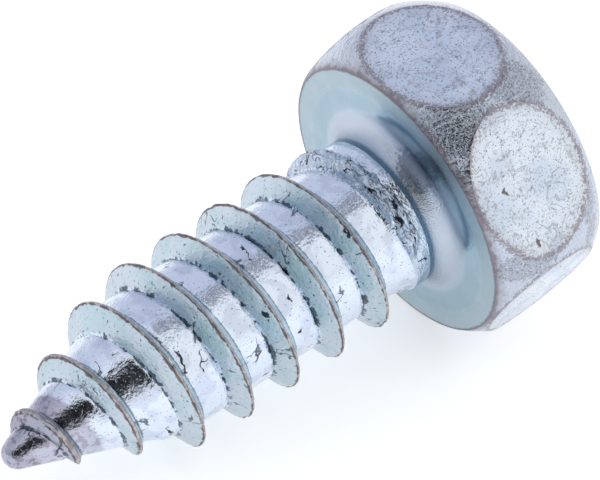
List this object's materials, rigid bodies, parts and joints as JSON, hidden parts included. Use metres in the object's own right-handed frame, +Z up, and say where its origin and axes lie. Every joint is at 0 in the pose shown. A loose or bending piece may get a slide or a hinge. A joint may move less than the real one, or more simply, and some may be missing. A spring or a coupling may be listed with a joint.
{
  "type": "hex head tapping screw",
  "caption": "Zinc plated hex head sheet metal screw: a smooth neck, a coarse right-hand thread that cuts its own way through thin metal, and a cone point.",
  "frame": {"origin": "middle of the bounding box, on the surface that the screw lies on", "axes": "+X along the screw from its point to its head, +Z up; the screw's own axis rises 10.6 degrees towards the head, because it rests on a flat of the head and on a crest of the thread"},
  "size_m": [0.0204, 0.011, 0.0103],
  "materials": {
    "zinc_plated_steel": "bright zinc plating, clear passivated, with a bluish tone, pitted and worn brownish at the edges"
  },
  "bodies": {
    "root": {"screw": "zinc_plated_steel"}
  },
  "joints": []
}
